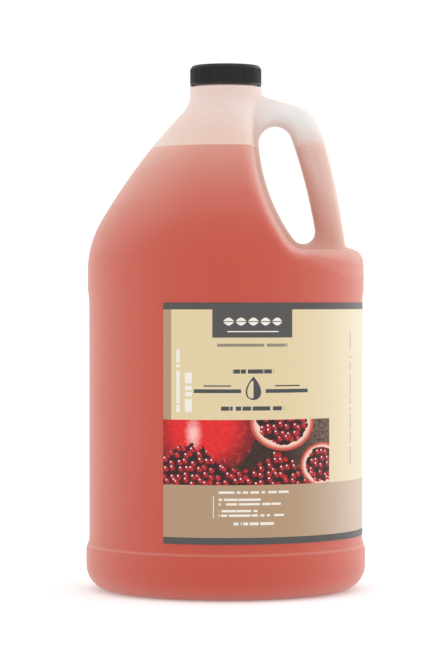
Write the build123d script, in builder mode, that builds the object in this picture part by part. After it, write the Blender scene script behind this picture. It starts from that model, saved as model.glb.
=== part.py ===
"""Round one-gallon oil jug: a hollow blow-moulded bottle with a through handle, its screw cap and
liner, the oil inside and a wrap-around label.  Millimetres, +Z up, origin on the floor under the neck."""

import math
import os

from build123d import *

os.makedirs("parts", exist_ok=True)

# ---- bottle body --------------------------------------------------------------------------------
WALL = 0.8  # blow-moulded wall
PANEL_R = 75.8  # recessed panel that carries the label
LOWER_BUMPER_R = 77.5
CORNER_R = 13.9  # rounded heel of the bottle
REST_RING_R = 56.0  # inner edge of the ring that the bottle stands on
PUSH_UP = 5.5  # height of the hollow under the base
LOWER_BUMPER_TOP = 24.0
PANEL_BOTTOM = 26.5
PANEL_TOP = 161.5
UPPER_BUMPER_BOTTOM = 165.5
LOWER_STEP_BLEND, UPPER_STEP_BLEND = 1.2, 3.0  # rounding where the panel meets the bumpers

# ---- shoulder and neck: an inward arc, a long flat arc and a round arc, all tangent ----------------
NECK_R = 19.95
NECK_BASE = 274.0  # where the neck starts to flare into the shoulder
FLARE_R, FLARE_TURN = 13.8, 43.54
CONE_R, CONE_TURN = 325.0, 13.54
DOME_R, DOME_TURN = 51.9, 30.0
NECK_TOP = 278.7
NECK_EDGE_R = 1.6

# ---- 38-400 neck finish ---------------------------------------------------------------------------
FINISH_R = 17.45  # neck behind the thread (E)
THREAD_R = 18.55  # over the thread (T)
MOUTH_R = 15.6
RIM = 288.0
PITCH = 25.4 / 6
THREAD_BITE = 0.1
RIM_CHAMFER = 0.5
THREAD_TURNS = 1.1
THREAD_START = 281.6
THREAD_ROOT, THREAD_CREST = 2.2, 1.0  # widths of the bottle's thread

# ---- handle and the pocket around it ----------------------------------------------------------------
GRIP_HALF = 12.0  # half thickness of the handle, front to back
GRIP_EDGE_R = 6.5
HOLE_TOP, HOLE_TOP_R = Vector(27.6, 247.4), 9.45  # upper end of the finger hole
HOLE_FOOT, HOLE_FOOT_R = Vector(42.9, 198.2), 6.85  # lower end of the finger hole
HOLE_BODY_SIDE_R = 105.0  # bow of the side next to the body
HOLE_GRIP_SIDE_R = 316.0  # bow of the side next to the grip
WEB = 2.2  # rim of the finger hole that stands out of the pocket
POCKET_DRAFT = 4.0  # degrees
POCKET_DEPTH = 85.0
POCKET_EDGE_R = 8.0
POCKET_LEAN = 0.5  # how far the pocket's upper end stays outside the neck
GRIP_TOP = (8.0, 276.3)  # hidden inside the neck
GRIP_CORNER = (49.7, 264.9)
GRIP_CORNER_R = 19.0
GRIP_FOOT = (68.5, 170.0)  # hidden inside the body
GRIP_ROOT = (-10.0, 170.0)  # hidden inside the body
GRIP_BOW_R = 440.0

# ---- cap ----------------------------------------------------------------------------------------------
CAP_BOTTOM, CAP_TOP = 279.1, 290.4
CAP_R = 19.8  # over the ribs
CAP_ROOT_R = 19.4  # between the ribs
CAP_BORE_R = 18.85
CAP_PANEL = 1.4
CAP_EDGE_R = 2.0
CAP_BEAD = 1.0  # height of the plain ring below the ribs
CAP_THREAD_R = 17.8
CAP_THREAD_TURNS = 0.9
CAP_THREAD_LEAD = 180.0  # degrees round from the start of the bottle's thread
CAP_THREAD_ROOT, CAP_THREAD_CREST = 1.5, 0.7
RIB_COUNT = 108
RIB_R = 0.4
LINER_R, LINER_THICKNESS = 18.35, 1.0

# ---- contents and label ---------------------------------------------------------------------------------
FILL_LEVEL = 244.5
OIL_GAP = 0.05  # oil to wall, so that the two solids stay apart
LABEL_BOTTOM, LABEL_TOP = 31.0, 159.0
LABEL_THICKNESS, LABEL_GAP = 0.15, 0.03
LABEL_HALF_TURN = 116.0  # each way from the handle side


# the turned body starts opposite the handle, so that its seam lies away from the pocket
SEAM_PLANE = Plane(origin=(0, 0, 0), x_dir=(-1, 0, 0), z_dir=(0, 1, 0))


def touching(near, near_r, far, far_r, bow, side):
    """Where a circle of radius bow, holding two circles, touches them; side is +1 or -1."""
    reach = (far - near).length
    a, b = bow - near_r, bow - far_r
    along = (a * a - b * b + reach * reach) / (2 * reach)
    across = math.sqrt(a * a - along * along) * side
    run = (far - near).normalized()
    centre = near + run * along + Vector(-run.Y, run.X) * across
    return [end + (end - centre).normalized() * r for end, r in ((near, near_r), (far, far_r))]


def hole_corners(grow):
    """Ends of the finger hole's two long sides, with the whole outline grown by grow."""
    ends = (HOLE_TOP, HOLE_TOP_R + grow, HOLE_FOOT, HOLE_FOOT_R + grow)
    body_side = touching(*ends, HOLE_BODY_SIDE_R + grow, 1)
    grip_side = touching(*ends, HOLE_GRIP_SIDE_R + grow, -1)
    return body_side, grip_side


def handle(inset):
    """The flat-sided handle with its finger hole and rounded edges, every face moved in by inset."""
    body_side, grip_side = hole_corners(0)
    with BuildPart() as grip:
        with BuildSketch(Plane.XZ):
            with BuildLine():
                top = Line(GRIP_TOP, GRIP_CORNER)
                back = RadiusArc(GRIP_CORNER, GRIP_FOOT, GRIP_BOW_R)
                Polyline(back @ 1, GRIP_ROOT, top @ 0)
            make_face()
            fillet(vertices().sort_by_distance(GRIP_CORNER)[0], GRIP_CORNER_R)
            with BuildLine():
                RadiusArc(body_side[0], body_side[1], -HOLE_BODY_SIDE_R)
                ThreePointArc(body_side[1], HOLE_FOOT - Vector(0, HOLE_FOOT_R), grip_side[1])
                RadiusArc(grip_side[1], grip_side[0], -HOLE_GRIP_SIDE_R)
                ThreePointArc(grip_side[0], HOLE_TOP + Vector(0, HOLE_TOP_R), body_side[0])
            make_face(mode=Mode.SUBTRACT)
            if inset:
                offset(amount=-inset)
        extrude(amount=GRIP_HALF - inset, both=True)
        fillet(grip.faces().filter_by(Axis.Y).edges(), GRIP_EDGE_R - inset)
    return grip.part


def turned_body(inset):
    """The bottle without its handle, as a solid of revolution, every face moved in by inset."""
    with BuildPart() as body:
        with BuildSketch(SEAM_PLANE):
            with BuildLine():
                neck_r, neck_top = NECK_R - inset, NECK_TOP - inset
                neck = Polyline((0, neck_top), (neck_r, neck_top), (neck_r, NECK_BASE))
                flare = JernArc(neck @ 1, (0, -1), FLARE_R + inset, FLARE_TURN)
                cone = JernArc(flare @ 1, flare % 1, CONE_R - inset, -CONE_TURN)
                dome = JernArc(cone @ 1, cone % 1, DOME_R - inset, -DOME_TURN)
                side = Polyline(
                    dome @ 1,
                    ((dome @ 1).X, UPPER_BUMPER_BOTTOM),
                    (PANEL_R - inset, PANEL_TOP),
                    (PANEL_R - inset, PANEL_BOTTOM),
                    (LOWER_BUMPER_R - inset, LOWER_BUMPER_TOP),
                    (LOWER_BUMPER_R - inset, CORNER_R),
                )
                heel = JernArc(side @ 1, (0, -1), CORNER_R - inset, -90)
                push_up = Polyline(
                    heel @ 1,
                    (REST_RING_R + inset, inset),
                    (REST_RING_R - PUSH_UP, 0.8 * PUSH_UP + inset),
                    (0, PUSH_UP + inset),
                )
                Line(push_up @ 1, (0, neck_top))
            make_face()
            fillet(vertices().filter_by_position(Axis.Y, LOWER_BUMPER_TOP, PANEL_BOTTOM), LOWER_STEP_BLEND)
            fillet(vertices().filter_by_position(Axis.Y, PANEL_TOP, UPPER_BUMPER_BOTTOM), UPPER_STEP_BLEND)
            fillet(vertices().sort_by_distance((neck_r, neck_top))[0], NECK_EDGE_R - inset)
        revolve(axis=Axis.Z)
    return body.part


def pocket(inset):
    """The drafted recess around the handle; it grows by inset to leave a wall."""
    grow = WEB + inset
    body_side, _ = hole_corners(grow)
    foot = HOLE_FOOT - Vector(0, HOLE_FOOT_R + grow)
    corner = HOLE_FOOT + Vector(-1, -1).normalized() * (HOLE_FOOT_R + grow)
    neck_side = Vector(NECK_R + POCKET_LEAN - inset, NECK_BASE + 2)
    clear = 1.3 * LOWER_BUMPER_R
    with BuildPart() as recess:
        with BuildSketch(Plane.XZ):
            with BuildLine():
                wall = RadiusArc(body_side[0], body_side[1], -HOLE_BODY_SIDE_R - grow)
                ThreePointArc(body_side[1], corner, foot)
                Polyline(foot, (clear, foot.Y), (clear, neck_side.Y), neck_side)
                TangentArc(body_side[0], neck_side, tangent=-(wall % 0))
            make_face()
        extrude(amount=POCKET_DEPTH, both=True, taper=-POCKET_DRAFT)
    return recess.part


def jug_form(inset):
    """Outer shape of the jug below its finish, or the space inside when inset is the wall."""
    with BuildPart() as form:
        add(turned_body(inset))
        add(pocket(inset), mode=Mode.SUBTRACT)
        deck_edges = form.edges(Select.LAST).filter_by(GeomType.BSPLINE).sort_by(Axis.X)[-2:]
        fillet(deck_edges, POCKET_EDGE_R - inset)  # runs on round the whole lower rim of the pocket
        add(handle(inset))
    return form.part


def thread(root_r, crest_r, start, turns, root, crest, lead=0.0):
    """A right-hand thread ridge from root_r to crest_r; it starts lead degrees round from +X."""
    bite = math.copysign(THREAD_BITE, crest_r - root_r)  # how far its root is sunk in the wall
    depth = crest_r - root_r + bite
    with BuildPart() as ridge:
        with BuildLine():
            turn = Helix(PITCH, PITCH * turns, root_r - bite, center=(0, 0, start))
        with BuildSketch(Plane(turn @ 0, x_dir=(1, 0, 0), z_dir=turn % 0)):
            with BuildLine():
                Polyline((0, -root / 2), (depth, -crest / 2), (depth, crest / 2), (0, root / 2), close=True)
            make_face()
        sweep(path=turn, is_frenet=True)
    return ridge.part.rotate(Axis.Z, lead)


# ---- bottle: one hollow moulding with its handle, neck and thread ----------------------------------------
shell = jug_form(0) - jug_form(WALL)
bottle_thread = thread(FINISH_R, THREAD_R, THREAD_START, THREAD_TURNS, THREAD_ROOT, THREAD_CREST)
with BuildPart() as bottle:
    add(shell)
    with BuildSketch(Plane.XY.offset(NECK_TOP - WALL)):
        Circle(FINISH_R)
    extrude(amount=RIM - NECK_TOP + WALL)
    add(bottle_thread)
    chamfer(bottle.edges().group_by(Axis.Z)[-1], RIM_CHAMFER)
    with BuildSketch(Plane.XY.offset(NECK_TOP - WALL)):
        Circle(MOUTH_R)
    extrude(amount=RIM - NECK_TOP + WALL, mode=Mode.SUBTRACT)
bottle.part.label = "bottle"
export_step(bottle.part, "parts/bottle.step")

# ---- cap: ribbed skirt, flat top with a rounded edge, and the matching thread inside -------------------------
half_pitch_below = THREAD_START - PITCH / 2
cap_thread_start = half_pitch_below + PITCH * CAP_THREAD_LEAD / 360
cap_thread = thread(
    CAP_BORE_R,
    CAP_THREAD_R,
    cap_thread_start,
    CAP_THREAD_TURNS,
    CAP_THREAD_ROOT,
    CAP_THREAD_CREST,
    CAP_THREAD_LEAD,
)
with BuildPart() as cap:
    with BuildSketch(Plane.XY.offset(CAP_BOTTOM)):
        Circle(CAP_ROOT_R)
    extrude(amount=CAP_TOP - CAP_BOTTOM)
    fillet(cap.edges().group_by(Axis.Z)[-1], CAP_EDGE_R)
    with BuildSketch(Plane.XY.offset(CAP_BOTTOM)):
        Circle(CAP_R)
    extrude(amount=CAP_BEAD)
    with BuildSketch(Plane.XY.offset(CAP_BOTTOM + CAP_BEAD)):
        with PolarLocations(CAP_ROOT_R, RIB_COUNT):
            Circle(RIB_R)
    extrude(amount=CAP_TOP - CAP_EDGE_R - CAP_BOTTOM - CAP_BEAD)
    with BuildSketch(Plane.XY.offset(CAP_BOTTOM)):
        Circle(CAP_BORE_R)
    extrude(amount=CAP_TOP - CAP_PANEL - CAP_BOTTOM, mode=Mode.SUBTRACT)
    add(cap_thread)
cap.part.label = "cap"
export_step(cap.part, "parts/cap.step")

# ---- liner: foam disc held under the cap's top, pressed on the rim -------------------------------------------
with BuildPart() as cap_liner:
    with BuildSketch(Plane.XY.offset(RIM)):
        Circle(LINER_R)
    extrude(amount=LINER_THICKNESS)
cap_liner.part.label = "cap_liner"
export_step(cap_liner.part, "parts/cap_liner.step")

# ---- oil: fills the bottle and the handle up to one level -----------------------------------------------------
oil_space = jug_form(WALL + OIL_GAP)
with BuildPart() as oil:
    add(oil_space)
    split(bisect_by=Plane.XY.offset(FILL_LEVEL), keep=Keep.BOTTOM)
oil.part.label = "oil"
export_step(oil.part, "parts/oil.step")

# ---- label: printed film wrapped round the recessed panel, its gap opposite the handle --------------------------
with BuildPart() as wrap_label:
    with BuildSketch(Plane.XY.offset(LABEL_BOTTOM)):
        with BuildLine():
            inner_r = PANEL_R + LABEL_GAP
            outer_r = inner_r + LABEL_THICKNESS
            inner = CenterArc((0, 0), inner_r, -LABEL_HALF_TURN, 2 * LABEL_HALF_TURN)
            outer = CenterArc((0, 0), outer_r, -LABEL_HALF_TURN, 2 * LABEL_HALF_TURN)
            Line(inner @ 0, outer @ 0)
            Line(inner @ 1, outer @ 1)
        make_face()
    extrude(amount=LABEL_TOP - LABEL_BOTTOM)
wrap_label.part.label = "wrap_label"
export_step(wrap_label.part, "parts/wrap_label.step")

print(f"oil {oil.part.volume / 1e6:.3f} litres")
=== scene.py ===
"""The looks of an oil jug: milky plastic over coral oil, a printed wrap label and a black cap."""

import math

import bmesh
import bpy
import numpy as np
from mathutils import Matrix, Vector
from mathutils.bvhtree import BVHTree


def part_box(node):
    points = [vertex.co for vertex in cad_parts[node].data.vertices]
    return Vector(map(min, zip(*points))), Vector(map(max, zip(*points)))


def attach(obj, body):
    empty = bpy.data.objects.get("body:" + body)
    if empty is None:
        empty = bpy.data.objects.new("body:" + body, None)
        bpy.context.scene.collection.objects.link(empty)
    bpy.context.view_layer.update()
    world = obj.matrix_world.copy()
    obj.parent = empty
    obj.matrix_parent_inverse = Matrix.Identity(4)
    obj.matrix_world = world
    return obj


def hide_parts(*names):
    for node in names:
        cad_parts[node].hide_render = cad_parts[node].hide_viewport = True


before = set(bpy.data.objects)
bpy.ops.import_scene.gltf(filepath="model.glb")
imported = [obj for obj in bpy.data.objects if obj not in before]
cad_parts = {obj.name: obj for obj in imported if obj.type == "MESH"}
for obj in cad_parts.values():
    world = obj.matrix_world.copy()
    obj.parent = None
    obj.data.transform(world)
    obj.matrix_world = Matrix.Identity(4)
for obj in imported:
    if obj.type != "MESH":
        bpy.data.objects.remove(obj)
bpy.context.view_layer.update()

MM = 0.001

# ---- places that the frame gives ----
BOTTLE_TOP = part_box("bottle")[1].z
CAP_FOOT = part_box("cap")[0].z
LABEL_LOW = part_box("wrap_label")[0]
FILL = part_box("oil")[1].z
LABEL_R = -LABEL_LOW.y
FOOT_STEP = LABEL_LOW.z - 5.8 * MM  # where the foot of the jug steps out

# ---- the neck, where the skin meets the CAD's own threaded finish ----
NECK_R = 19.95 * MM
NECK_CUT = CAP_FOOT - 2.5 * MM  # the finish is kept from here up
NECK_GAP = 1.0 * MM  # between the skin's edge and the finish, closed by a strip of faces
TRUE_FROM, TRUE_OVER = NECK_CUT - 3 * MM, 1.0 * MM  # the skin turns exactly round over this height

# ---- the jug's skin and the oil inside it ----
WELD = 0.002 * MM
VOXEL = 1.7 * MM
SKIN_SMOOTHING = 3
WALL = 0.8 * MM
OIL_GAP = 0.15 * MM
INNER_SHARE = 0.3  # of the inner skin's faces are kept, since little of it is ever seen
SHARP_ANGLE = 35  # degrees

# ---- the two measures of oil ----
DEPTH_FULL = 150 * MM  # a way through the oil as long as this counts as full
TILTS = (-26, -13, 0, 13, 26)  # degrees from level
POCKET_FADE = 8 * MM  # how deep the pocket beside the handle is when only its thickness counts
DARK_FOOT = 8 * MM  # no light comes in below this height
GLOW_RAYS = 96
NEAR_FILL = 2.5 * VOXEL  # both measures are taken this near the fill line, so neither fades at it
OIL_START, SPACE_START = WALL + 8 * OIL_GAP, WALL + 3 * OIL_GAP  # how far in the rays start
BELOW_FILL, ABOVE_FILL = 0.5 * MM, 0.2 * MM  # how far from the fill line the rays start

# ---- the view ----
VIEW_DISTANCE = 1.52
VIEW_HEIGHT = 0.1604
AIM = Vector((-3.2 * MM, 0, 144.0 * MM))
LENS = 149.4
ROOM = 1.08  # the brightness of the white room


def srgb(red, green, blue):
    """The linear colour of an 8-bit display colour."""
    shares = [channel / 255 for channel in (red, green, blue)]
    linear = [c / 12.92 if c <= 0.04 else ((c + 0.055) / 1.055) ** 2.4 for c in shares]
    return (*linear, 1.0)


def clamped(value):
    return min(max(value, 0), 1)


# =============================== meshes ===============================


def cad_mesh(node):
    """A welded, editable copy of a CAD node's mesh."""
    form = bmesh.new()
    form.from_mesh(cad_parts[node].data)
    bmesh.ops.remove_doubles(form, verts=form.verts, dist=WELD)
    return form


def cut_flat(form, height, keep_below):
    """Cuts a form at a height and keeps one side of it."""
    everything = form.verts[:] + form.edges[:] + form.faces[:]
    side = {"clear_outer": True} if keep_below else {"clear_inner": True}
    place = {"plane_co": (0, 0, height), "plane_no": (0, 0, 1)}
    bmesh.ops.bisect_plane(form, geom=everything, **place, **side)


def keep_outside(form):
    """Of a shell cut open at its neck, keeps the outer skin, which has the lowest point."""
    start = min(form.verts, key=lambda v: v.co.z)
    seen, waiting = {start}, [start]
    while waiting:
        vert = waiting.pop()
        for edge in vert.link_edges:
            other = edge.other_vert(vert)
            if other not in seen:
                seen.add(other)
                waiting.append(other)
    bmesh.ops.delete(form, geom=[v for v in form.verts if v not in seen], context="VERTS")


def close_top(form):
    """Fills the open edge with one face."""
    bmesh.ops.contextual_create(form, geom=[e for e in form.edges if e.is_boundary])


def to_object(form, name):
    """A smooth-shaded object made of a form, which is used up."""
    mesh = bpy.data.meshes.new(name)
    form.to_mesh(mesh)
    form.free()
    mesh.shade_smooth()
    obj = bpy.data.objects.new(name, mesh)
    bpy.context.scene.collection.objects.link(obj)
    return obj


def bake_modifiers(obj):
    """Applies an object's modifiers to its mesh."""
    depsgraph = bpy.context.evaluated_depsgraph_get()
    obj.data = bpy.data.meshes.new_from_object(obj.evaluated_get(depsgraph))
    obj.modifiers.clear()
    obj.data.shade_smooth()


def jug_skin():
    """The jug's outer skin up to the neck as an even, smooth mesh, closed flat at its top."""
    form = cad_mesh("bottle")
    cut_flat(form, NECK_CUT + NECK_GAP, keep_below=True)
    keep_outside(form)
    close_top(form)
    skin = to_object(form, "jug_skin")
    remesh = skin.modifiers.new("even", "REMESH")
    remesh.mode = "VOXEL"
    remesh.voxel_size = VOXEL
    smooth = skin.modifiers.new("smooth", "SMOOTH")
    smooth.factor = 0.5
    smooth.iterations = SKIN_SMOOTHING
    bake_modifiers(skin)
    true_up_neck(skin)
    return skin


def true_up_neck(skin):
    """Brings the top of the skin onto the round of the CAD's neck, which it is joined to."""
    for vert in skin.data.vertices:
        share = clamped((vert.co.z - TRUE_FROM) / TRUE_OVER)
        radius = math.hypot(vert.co.x, vert.co.y)
        if share and radius > NECK_R - 2 * VOXEL:
            scale = 1 + share * (NECK_R / radius - 1)
            vert.co.x, vert.co.y = vert.co.x * scale, vert.co.y * scale


def inset(form, distance):
    """Moves a form's surface inwards."""
    form.normal_update()
    moved = [(vert, vert.co - vert.normal * distance) for vert in form.verts]
    for vert, place in moved:
        vert.co = place


def oil_form(skin):
    """The space inside the skin's wall up to the fill line, closed by the oil's level surface."""
    form = bmesh.new()
    form.from_mesh(skin.data)
    inset(form, WALL + OIL_GAP)
    cut_flat(form, FILL, keep_below=True)
    close_top(form)
    bmesh.ops.triangulate(form, faces=[face for face in form.faces if len(face.verts) > 4])
    return form


def spread_of_rays():
    """Directions spread evenly over the whole sphere."""
    golden = math.pi * (3 - math.sqrt(5))
    for i in range(GLOW_RAYS):
        rise = 1 - (2 * i + 1) / GLOW_RAYS
        reach = math.sqrt(1 - rise * rise)
        yield Vector((reach * math.cos(i * golden), reach * math.sin(i * golden), rise))


def tree_of(form):
    """A form's surface, ready for rays; the form is used up."""
    tree = BVHTree.FromBMesh(form)
    form.free()
    return tree


def oil_depth(oil, walls, vert):
    """The way through the oil at a point of the skin, towards the jug's axis; or, where the skin
    lies in the pocket beside the handle, from front to back, which is how that part is lit."""
    start = vert.co - vert.normal * OIL_START
    start.z = min(start.z, FILL - BELOW_FILL)

    def chord(way):
        length = 0
        for side in (1, -1):
            place, _, _, end = oil.ray_cast(start, way * side, DEPTH_FULL)
            length += DEPTH_FULL if place is None or place.z < DARK_FOOT else end
        return min(length / DEPTH_FULL, 1)

    inward = Vector((-start.x, -start.y, 0)).normalized()
    through = 0
    for tilt in TILTS:
        angle = math.radians(tilt)
        through += chord(inward * math.cos(angle) + Vector((0, 0, math.sin(angle))))
    through /= len(TILTS)
    round_r = walls.ray_cast(Vector((0, 0, start.z)), Vector((-1, 0, 0)))[3] or 0
    sunk = round_r - math.hypot(start.x, start.y) - WALL
    pocket = clamped(sunk / POCKET_FADE) if start.x > 0 else 0
    return through + (chord(Vector((0, 1, 0))) - through) * pocket


def oil_glow(oil, walls, vert, rays):
    """How much of what a point of the skin sees, across the empty space behind it, is oil."""
    start = vert.co - vert.normal * SPACE_START
    start.z = max(start.z, FILL + ABOVE_FILL)
    seen = 0
    for ray in rays:
        way = oil.ray_cast(start, ray, DEPTH_FULL)[3]
        if way is not None and walls.ray_cast(start, ray, max(way - MM, 0))[3] is None:
            seen += 2 / GLOW_RAYS
    return seen


def measure_oil(skin):
    """Gives each point of the skin its two measures, "oil_depth" and "oil_glow"."""
    form = bmesh.new()
    form.from_mesh(skin.data)
    oil, walls = tree_of(oil_form(skin)), tree_of(form)
    rays = list(spread_of_rays())
    depth = np.zeros(len(skin.data.vertices), np.float32)
    glow = np.zeros(len(skin.data.vertices), np.float32)
    for index, vert in enumerate(skin.data.vertices):
        if vert.co.z < FILL + NEAR_FILL:
            depth[index] = oil_depth(oil, walls, vert)
        if vert.co.z > FILL - NEAR_FILL:
            glow[index] = oil_glow(oil, walls, vert, rays)
    for name, values in (("oil_depth", depth), ("oil_glow", glow)):
        skin.data.attributes.new(name, "FLOAT", "POINT").data.foreach_set("value", values)


def rim_edges(form, low, high):
    """The open edges between two heights, the outer loop first and the inner loop second."""
    loops = [], []
    for edge in form.edges:
        middle = (edge.verts[0].co + edge.verts[1].co) / 2
        if edge.is_boundary and low < middle.z < high:
            loops[math.hypot(middle.x, middle.y) < NECK_R - WALL / 2].append(edge)
    return loops


def add_jug_wall(skin):
    """The bottle in one closed mesh: the skin, a coarser copy of it a wall's thickness inside, and
    the threaded finish as the CAD has it."""
    form = bmesh.new()
    form.from_mesh(skin.data)
    cut_flat(form, NECK_CUT - NECK_GAP, keep_below=True)
    inside = form.copy()
    inset(inside, WALL)
    bmesh.ops.reverse_faces(inside, faces=inside.faces)
    inner = to_object(inside, "inner_skin")
    coarser = inner.modifiers.new("coarser", "DECIMATE")
    coarser.ratio = INNER_SHARE
    bake_modifiers(inner)
    finish_form = cad_mesh("bottle")
    cut_flat(finish_form, NECK_CUT, keep_below=False)
    finish = to_object(finish_form, "finish")
    for piece in (inner, finish):
        form.from_mesh(piece.data)
        bpy.data.objects.remove(piece)
    gap = NECK_CUT - NECK_GAP / 2
    for lower, upper in zip(rim_edges(form, 0, gap), rim_edges(form, gap, BOTTLE_TOP)):
        bmesh.ops.bridge_loops(form, edges=lower + upper)
    bmesh.ops.recalc_face_normals(form, faces=form.faces)
    wall = to_object(form, "jug_wall")
    wall.data.set_sharp_from_angle(angle=math.radians(SHARP_ANGLE))
    return wall


# =============================== materials ===============================

MILK = srgb(225, 221, 219), srgb(230, 226, 224)
MILK_LIT = srgb(218, 186, 174)  # where the oil lights it from behind
MILK_NECK = srgb(217, 180, 168)  # pinker towards the top of the neck, close under the cap
CORAL_THIN = srgb(220, 194, 186), srgb(210, 155, 140)
CORAL_DEEP = srgb(188, 66, 46)
CORAL_STEP = srgb(216, 190, 182)  # the line of light along the foot's step
CAP_BLACK, CAP_SCUFF = srgb(20, 15, 11), srgb(46, 40, 35)
FOAM = srgb(236, 235, 230), srgb(248, 248, 245)
FLOOR = srgb(226, 231, 231), srgb(230, 235, 235)


class Nodes:
    """One material's node tree, with a short call for each kind of node that is used."""

    def __init__(self, name):
        self.material = bpy.data.materials.new(name)
        self.material.use_nodes = True
        self.tree = self.material.node_tree
        self.tree.nodes.clear()
        self.output = self.tree.nodes.new("ShaderNodeOutputMaterial")
        self.place = self.add("ShaderNodeTexCoord").outputs["Object"]
        self.x, self.y, self.z = self.add("ShaderNodeSeparateXYZ", {0: self.place}).outputs

    def add(self, kind, inputs=None, **settings):
        """A node; each input is a number or colour, or the socket that feeds it."""
        node = self.tree.nodes.new(kind)
        for key, value in settings.items():
            setattr(node, key, value)
        for key, value in (inputs or {}).items():
            if isinstance(value, bpy.types.NodeSocket):
                self.tree.links.new(value, node.inputs[key])
            else:
                node.inputs[key].default_value = value
        return node

    def math(self, operation, *values):
        return self.add("ShaderNodeMath", dict(enumerate(values)), operation=operation).outputs[0]

    def plus(self, a, b):
        return self.math("ADD", a, b)

    def minus(self, a, b):
        return self.math("SUBTRACT", a, b)

    def times(self, a, b):
        return self.math("MULTIPLY", a, b)

    def size(self, value):
        """A value without its sign."""
        return self.math("ABSOLUTE", value)

    def above(self, a, b):
        """1 where a is more than b."""
        return self.math("GREATER_THAN", a, b)

    def below(self, a, b):
        """1 where a is less than b."""
        return self.math("LESS_THAN", a, b)

    def window(self, value, low, high):
        """1 where a value is between two limits."""
        return self.times(self.above(value, low), self.below(value, high))

    def ramp(self, value, low, high):
        """0 at low and 1 at high, whichever is the lower, with a smooth rise between."""
        limits = {"Value": value, "From Min": low, "From Max": high}
        return self.add("ShaderNodeMapRange", limits, interpolation_type="SMOOTHSTEP").outputs[0]

    def steady(self, value, low, high):
        """0 below low and 1 above high, in a straight line between."""
        limits = {"Value": value, "From Min": low, "From Max": high}
        return self.add("ShaderNodeMapRange", limits).outputs[0]

    def mix(self, share, a, b):
        """Colour a, or b where the share is 1."""
        return self.add("ShaderNodeMix", {0: share, 6: a, 7: b}, data_type="RGBA").outputs[2]

    def noise(self, scale, detail=3.0, place=None):
        inputs = {"Vector": place or self.place, "Scale": scale, "Detail": detail}
        return self.add("ShaderNodeTexNoise", inputs).outputs[0]

    def spots(self, place, scale, dimensions="3D", uneven=1.0):
        """Cells: the distance from the middle of each, and a colour of its own."""
        inputs = {"Vector": place, "Scale": scale, "Randomness": uneven}
        cells = self.add("ShaderNodeTexVoronoi", inputs, voronoi_dimensions=dimensions)
        return cells.outputs["Distance"], cells.outputs["Color"]

    def joined(self, x, y, z=0.0):
        return self.add("ShaderNodeCombineXYZ", {0: x, 1: y, 2: z}).outputs[0]

    def measure(self, name):
        """One of the measures that the mesh carries."""
        return self.add("ShaderNodeAttribute", attribute_name=name).outputs["Fac"]

    def bump(self, height, distance, strength=1.0, normal=None):
        inputs = {"Height": height, "Distance": distance, "Strength": strength}
        if normal is not None:
            inputs["Normal"] = normal
        return self.add("ShaderNodeBump", inputs).outputs[0]

    def surface(self, **inputs):
        """Finishes the material with one Principled shader; a name's underscores are its spaces."""
        named = {key.replace("_", " "): value for key, value in inputs.items()}
        shader = self.add("ShaderNodeBsdfPrincipled", named)
        self.tree.links.new(shader.outputs[0], self.output.inputs["Surface"])
        return self.material


def moulded_skin(n):
    """The moulded skin's bump: fine orange peel, slow waves in the wall, and the parting line."""
    peel = n.bump(n.noise(900, 2), 0.03 * MM, 0.6)
    waves = n.bump(n.noise(22, 1), 0.5 * MM, 0.35, peel)
    line = n.ramp(n.size(n.y), 0.35 * MM, 0.0)
    return n.bump(line, 0.12 * MM, 1.0, waves)


def coral(n):
    """The colour of oil behind a wall, as painted light shining through it: deep where there is
    much of it, pale where there is less.
    """
    depth = n.plus(n.measure("oil_depth"), n.times(n.minus(n.noise(14, 2), 0.5), 0.04))
    thin = n.mix(n.steady(depth, 0.0, 0.20), *CORAL_THIN)
    return n.mix(n.steady(depth, 0.18, 0.88), thin, CORAL_DEEP)


def oil_material():
    """Coral oil, satin where it lies against the wall."""
    n = Nodes("oil")
    return n.surface(
        Base_Color=coral(n),
        Roughness=n.plus(0.30, n.times(n.noise(40, 3), 0.10)),
        Normal=moulded_skin(n),
        IOR=1.47,
        Subsurface_Weight=0.35,
        Subsurface_Radius=(1.0, 0.35, 0.25),
        Subsurface_Scale=0.008,
    )


def bottle_material():
    """Natural polyethylene: milky over the empty space, and coral where oil wets its inside."""
    n = Nodes("milky_plastic")
    milk = n.mix(n.noise(30, 3), *MILK)
    milk = n.mix(n.ramp(n.measure("oil_glow"), 0.0, 0.6), milk, MILK_LIT)
    neck = n.ramp(n.z, NECK_CUT - 12 * MM, NECK_CUT + 2 * MM)
    milk = n.mix(n.times(neck, 0.7), milk, MILK_NECK)
    # painted highlight: a pale line along the foot's step, where the step would catch the light
    step = n.ramp(n.size(n.minus(n.z, FOOT_STEP)), 0.9 * MM, 0.2 * MM)
    wetted = n.mix(n.times(step, 0.16), coral(n), CORAL_STEP)
    wet = n.ramp(n.z, FILL + 0.5 * MM, FILL - 0.3 * MM)
    return n.surface(
        Base_Color=n.mix(wet, milk, wetted),
        Roughness=n.plus(0.40, n.times(n.noise(40, 3), 0.10)),
        Normal=moulded_skin(n),
        IOR=1.5,
        Specular_IOR_Level=0.12,
        Sheen_Weight=0.45,
        Sheen_Roughness=0.69,
        Sheen_Tint=(0.88, 0.85, 0.78, 1.0),
        Subsurface_Weight=0.5,
        Subsurface_Radius=(1.0, 0.7, 0.6),
        Subsurface_Scale=0.0015,
    )


def cap_material():
    """Black moulded polypropylene, a little dusty and scuffed."""
    n = Nodes("black_cap")
    return n.surface(
        Base_Color=n.mix(n.ramp(n.noise(260, 5), 0.52, 0.78), CAP_BLACK, CAP_SCUFF),
        Roughness=n.plus(0.32, n.times(n.noise(500, 3), 0.16)),
        Normal=n.bump(n.noise(2600, 2), 0.02 * MM, 0.5),
        IOR=1.49,
        Specular_IOR_Level=0.38,
    )


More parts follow.
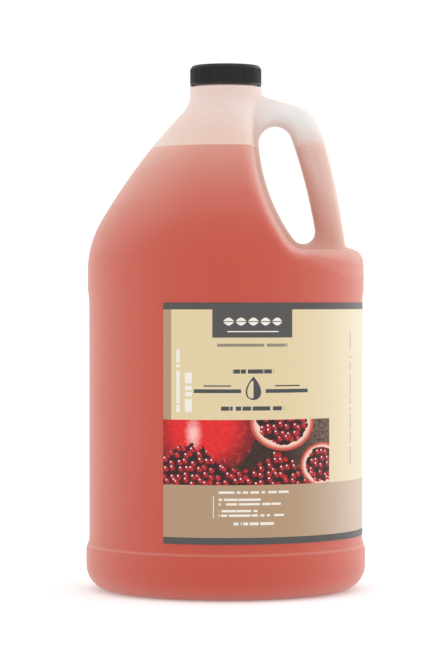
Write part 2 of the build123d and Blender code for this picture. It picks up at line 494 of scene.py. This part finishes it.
def liner_material():
    """White foam of small closed cells."""
    n = Nodes("foam")
    cells, _ = n.spots(n.place, 1600)
    return n.surface(
        Base_Color=n.mix(n.noise(700, 2), *FOAM),
        Roughness=0.7,
        Normal=n.bump(cells, 0.08 * MM, 0.7),
        IOR=1.45,
        Subsurface_Weight=0.4,
        Subsurface_Radius=(1.0, 1.0, 1.0),
        Subsurface_Scale=0.001,
    )


# =============================== the label's print ===============================
# Heights are in millimetres above the label's foot, and turns in degrees round from the front.

ARC = math.radians(LABEL_R / MM)  # millimetres of print to a degree
LABEL_TALL = 128.0
BEYOND = 200.0  # a height past the label's head
BORDER = 3.6
LABEL_LEFT = -26.0
STRIP_RIGHT = -22.5
PANEL_TOP = 31.5
PICTURE_RIGHT, PICTURE_TOP = 46.9, 66.0
BLOCK_LEFT, BLOCK_RIGHT, BLOCK_FOOT = -5.5, 27.6, 109.5
PAINTED_SHEEN_TURNS = 20.0, 75.0  # the print is painted paler between these turns and stays so beyond, a painted reflection of the light at the jug's right
EMBLEM_TURN = 11.0
EMBLEM_RULES = (-13.0, 6.0), (16.0, 35.0)
DROP_FOOT, DROP_TALL, DROP_HALF_WIDE, DROP_EDGE = 76.5, 12.5, 4.2, 0.9
LEAF_LENGTH, LEAF_UP = 6.6, 118.0
DASH_SCALE, DASH_GAPS = 0.42, 0.40
PANEL_ROWS = (27.6, 26.0), (23.8, 14.0), (21.4, 22.5), (17.8, 13.0), (15.4, 24.0)
BACK_LEFT = 118.0
BACK_ROWS = (103, 158), (99, 171), (95, 166), (91, 172), (87, 149), (80, 169), (76, 173), (72, 160)
BERRY_SCALE, BERRY_UNEVEN = 0.27, 0.75

GREY = srgb(76, 73, 73)
BEIGE, BEIGE_PAINTED_SHEEN = srgb(215, 196, 156), srgb(222, 210, 188)
BROWN, BROWN_PAINTED_SHEEN = srgb(171, 141, 112), srgb(196, 176, 158)
PALE = srgb(230, 224, 214)
INK = srgb(66, 68, 72)


class Print(Nodes):
    """The label's node tree: up is the height above its foot in mm, turn the angle round from the
    front in degrees, and along the length of that arc in mm.  The last two jump on the side away
    from the handle, where there is no label."""

    def __init__(self, name):
        super().__init__(name)
        self.up = self.times(self.minus(self.z, LABEL_LOW.z), 1 / MM)
        angle = self.plus(self.math("ARCTAN2", self.y, self.x), math.pi / 2)
        self.turn = self.times(angle, 180 / math.pi)
        self.along = self.times(angle, LABEL_R / MM)
        self.colour = BEIGE

    def paint(self, mask, colour):
        self.colour = self.mix(mask, self.colour, colour)

    def area(self, left, right, foot, top):
        """A rectangle of the label: its left and right in degrees, its foot and top in mm."""
        return self.times(self.window(self.turn, left, right), self.window(self.up, foot, top))

    def dashes(self, bar, run, row, colour):
        """Paints a bar broken into uneven dashes along its run, as small print looks from afar; the
        row tells one bar's dashes from another's."""
        marks = self.above(self.noise(DASH_SCALE, 1, self.joined(run, row)), DASH_GAPS)
        self.paint(self.times(bar, marks), colour)

    def line(self, left, right, middle, height, colour):
        """A level line of dashes."""
        bar = self.area(left, right, middle - height / 2, middle + height / 2)
        self.dashes(bar, self.along, middle * 7.3, colour)

    def upright(self, turn, width, foot, top, colour):
        """An upright line of dashes."""
        half = width / 2 / ARC
        bar = self.area(turn - half, turn + half, foot, top)
        self.dashes(bar, self.up, turn * 3.1, colour)


def berries(n, s, t):
    """Round berries, each of its own red, darker between them, with a glow low at the left and a
    glint high at the right."""

    def cells(shift_s, shift_t):
        place = n.joined(n.plus(s, shift_s), n.plus(t, shift_t))
        return n.spots(place, BERRY_SCALE, "2D", BERRY_UNEVEN)

    distance, own = cells(0.0, 0.0)
    glint, _ = cells(0.55, -0.75)
    shine, _ = cells(-0.5, 0.6)
    tone = n.add("ShaderNodeSeparateColor", {0: own}).outputs[0]
    berry = n.mix(n.ramp(distance, 0.15, 0.50), srgb(186, 14, 28), srgb(78, 0, 12))
    berry = n.mix(n.times(tone, 0.5), berry, srgb(104, 4, 18))
    berry = n.mix(n.times(n.ramp(shine, 0.20, 0.05), 0.5), berry, srgb(228, 70, 66))
    berry = n.mix(n.ramp(distance, 0.44, 0.62), berry, srgb(26, 3, 6))
    glint = n.times(n.ramp(glint, 0.17, 0.08), n.ramp(tone, 0.1, 0.5))
    return n.mix(glint, berry, srgb(250, 214, 214))


def paint_picture(n):
    """A strip of still life: a smooth red fruit, a heap of glossy berries, and two cut fruits.  Its
    places are s along and t up from its lower left corner, in mm."""
    s = n.minus(n.along, LABEL_LEFT * ARC)
    t = n.minus(n.up, PANEL_TOP)
    place = n.joined(s, t)

    def oval(middle_s, middle_t, half_s, half_t):
        """How far a point is from an oval's middle, as a share of the way to its edge."""
        a = n.times(n.minus(s, middle_s), 1 / half_s)
        b = n.times(n.minus(t, middle_t), 1 / half_t)
        return n.math("SQRT", n.plus(n.times(a, a), n.times(b, b)))

    colour = n.mix(n.ramp(s, 66, 92), srgb(40, 20, 15), srgb(112, 90, 74))
    colour = n.mix(n.ramp(n.noise(0.5, 4, place), 0.35, 0.7), colour, srgb(60, 36, 28))

    fruit = oval(22, 31, 29, 27)
    skin = n.mix(n.ramp(fruit, 0.45, 1.0), srgb(216, 20, 26), srgb(104, 4, 14))
    blush = n.ramp(n.noise(0.35, 5, place), 0.45, 0.75)
    skin = n.mix(n.times(blush, 0.4), skin, srgb(226, 70, 56))
    uneven = n.times(n.noise(0.4, 3, place), 0.5)
    streak = n.ramp(n.plus(oval(17, 27, 6, 12), uneven), 1.2, 0.3)
    skin = n.mix(n.times(streak, 0.85), skin, srgb(248, 196, 190))
    colour = n.mix(n.ramp(fruit, 1.0, 0.985), colour, skin)

    berry = berries(n, s, t)
    ragged = n.times(n.minus(n.noise(0.25, 2, place), 0.5), 0.35)
    for middle_s, middle_t, size in ((66, 33, 19), (91, 10, 15)):
        cut = oval(middle_s, middle_t, size, size * 0.8)
        flesh = n.mix(n.ramp(cut, 0.80, 0.96), srgb(236, 196, 178), srgb(190, 66, 52))
        colour = n.mix(n.ramp(cut, 1.0, 0.98), colour, flesh)
        colour = n.mix(n.below(n.plus(cut, ragged), 0.76), colour, berry)

    heap = n.plus(14.5, n.times(n.math("SINE", n.times(s, 0.11)), 6.5))
    heap = n.minus(n.plus(heap, n.times(ragged, 28.0)), n.times(n.ramp(s, 58, 84), 16.0))
    colour = n.mix(n.below(t, heap), colour, berry)
    n.paint(n.area(LABEL_LEFT, PICTURE_RIGHT, PANEL_TOP, PICTURE_TOP), colour)


def paint_emblem(n):
    """An oil drop, half of it hollow, between two pairs of rules, with a line of small print above
    and below it."""
    middle = EMBLEM_TURN * ARC
    share = n.times(n.minus(n.up, DROP_FOOT), 1 / DROP_TALL)
    round_foot = n.math("SQRT", n.math("MAXIMUM", share, 0.0))
    width = n.times(n.times(round_foot, n.minus(1.0, share)), 2.6 * DROP_HALF_WIDE)
    offset = n.size(n.minus(n.along, middle))
    n.paint(n.times(n.below(offset, width), n.window(share, 0.0, 1.0)), INK)
    hollow = n.times(n.below(offset, n.minus(width, DROP_EDGE)), n.window(share, 0.08, 0.8))
    n.paint(n.times(hollow, n.below(n.along, middle)), BEIGE)
    for left, right in EMBLEM_RULES:
        n.paint(n.area(left, right, 80.2, 82.2), INK)
        n.paint(n.area(left + 4, right - 4, 83.6, 84.3), INK)
    n.line(2.5, 19.5, 91.6, 2.2, INK)
    n.line(-2.0, 24.0, 72.0, 2.2, INK)


def paint_garland(n):
    """A row of five pale leaves over a thin rule, in the block at the label's head."""
    along = n.minus(n.along, EMBLEM_TURN * ARC)
    wave = n.size(n.math("COSINE", n.times(along, math.pi / LEAF_LENGTH)))
    leaf = n.minus(n.times(wave, LEAF_LENGTH * 0.36), 0.3)
    height = n.size(n.minus(n.up, LEAF_UP))
    row = n.times(n.below(height, leaf), n.above(height, 0.22))
    n.paint(n.times(row, n.below(n.size(along), 2.5 * LEAF_LENGTH)), PALE)
    n.paint(n.area(0.5, 21.5, 112.4, 113.0), PALE)


def paint_small_print(n):
    """The rows of dashes under the block, on the brown panel, up the sides and at the back."""
    n.line(-3.5, 26.0, 105.5, 1.6, srgb(140, 128, 110))
    for up, right in PANEL_ROWS:
        n.line(-3.0, right, up, 1.2, PALE)
    n.paint(n.area(-5.2, -4.9, 14.0, 25.5), PALE)
    n.line(3.0, 19.5, 11.0, 1.5, PALE)
    n.upright(62.7, 1.5, 40.0, 112.0, srgb(178, 172, 160))
    for up, right in BACK_ROWS:
        n.line(BACK_LEFT, right, up, 1.3, srgb(128, 120, 108))
    n.upright(-19.6, 2.0, 70.0, 103.0, PALE)
    n.upright(-15.2, 3.8, 70.0, 91.0, PALE)


def label_material():
    """A satin printed film: grey borders, a beige field over a brown panel, and the picture."""
    n = Print("printed_label")
    # painted reflection: the print is paler from the front round to the jug's right, where the
    # right-hand light would reflect in it
    painted_sheen = n.ramp(n.turn, *PAINTED_SHEEN_TURNS)
    n.colour = n.mix(n.times(painted_sheen, 0.7), BEIGE, BEIGE_PAINTED_SHEEN)
    n.paint(n.area(LABEL_LEFT - 1, STRIP_RIGHT, PICTURE_TOP, BEYOND), BROWN)
    n.paint(n.below(n.up, PANEL_TOP), n.mix(painted_sheen, BROWN, BROWN_PAINTED_SHEEN))
    paint_picture(n)
    paint_emblem(n)
    n.paint(n.area(BLOCK_LEFT, BLOCK_RIGHT, BLOCK_FOOT, BEYOND), GREY)
    paint_garland(n)
    paint_small_print(n)
    n.paint(n.above(n.up, LABEL_TALL - BORDER), GREY)
    n.paint(n.below(n.up, BORDER), GREY)
    speck = n.ramp(n.noise(3.0, 3, n.joined(n.along, n.up)), 0.3, 0.7)
    return n.surface(
        Base_Color=n.mix(n.times(speck, 0.05), n.colour, srgb(120, 110, 100)),
        Roughness=n.plus(0.36, n.times(n.noise(150, 3), 0.12)),
        Normal=n.bump(n.noise(40, 2), 0.3 * MM, 0.25),
        IOR=1.48,
        Specular_IOR_Level=0.35,
    )


def floor_material():
    """A matt white floor, lifted by a little light of its own."""
    n = Nodes("floor")
    return n.surface(
        Base_Color=n.mix(n.noise(3, 2), *FLOOR),
        Roughness=0.85,
        IOR=1.3,
        Emission_Color=(1, 1, 1, 1),
        Emission_Strength=0.28,
    )


# =============================== the scene ===============================


def paint(obj, material):
    """Gives an object its material."""
    obj.data.materials.clear()
    obj.data.materials.append(material)


def add_jug():
    """The bottle, its oil and its label."""
    skin = jug_skin()
    measure_oil(skin)
    wall, oil = add_jug_wall(skin), to_object(oil_form(skin), "oil_fill")
    bpy.data.objects.remove(skin)
    paint(wall, bottle_material())
    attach(wall, "bottle")
    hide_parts("bottle")
    paint(oil, oil_material())
    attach(oil, "bottle")
    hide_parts("oil")
    paint(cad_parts["wrap_label"], label_material())


def add_closure():
    """The cap and its liner."""
    paint(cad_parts["cap"], cap_material())
    paint(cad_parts["cap_liner"], liner_material())


def add_floor():
    """A wide floor that fades into the white room."""
    form = bmesh.new()
    bmesh.ops.create_grid(form, x_segments=2, y_segments=2, size=6.0)
    floor = to_object(form, "floor")
    paint(floor, floor_material())


def add_room():
    """An even white room."""
    world = bpy.data.worlds.new("world")
    world.use_nodes = True
    background = world.node_tree.nodes["Background"]
    background.inputs["Color"].default_value = (1, 1, 1, 1)
    background.inputs["Strength"].default_value = ROOM
    bpy.context.scene.world = world


def put(obj, place, aim):
    """Puts a light or camera at a place, facing a point."""
    obj.location = place
    obj.rotation_euler = (aim - Vector(place)).to_track_quat("-Z", "Y").to_euler()
    bpy.context.scene.collection.objects.link(obj)


def add_light(name, place, size, power):
    """A soft rectangular light that faces the jug's middle."""
    light = bpy.data.lights.new(name, "AREA")
    light.shape = "RECTANGLE"
    light.size, light.size_y = size
    light.energy = power
    put(bpy.data.objects.new(name, light), place, Vector((0, 0, BOTTLE_TOP / 2)))


def add_lights():
    """A softbox overhead and one behind the jug's right."""
    add_light("overhead", (0, -0.25, 1.25), (1.3, 1.0), 0.8)
    add_light("right", (1.27, 0.59, 0.35), (1.6, 1.3), 5.5)


def add_camera():
    """A long lens at the height of the jug's middle."""
    camera = bpy.data.cameras.new("camera")
    camera.lens = LENS
    obj = bpy.data.objects.new("camera", camera)
    put(obj, (AIM.x, -VIEW_DISTANCE, VIEW_HEIGHT), AIM)
    bpy.context.scene.camera = obj


add_jug()
add_closure()
add_floor()
add_room()
add_lights()
add_camera()
bpy.context.scene.view_settings.view_transform = "Standard"
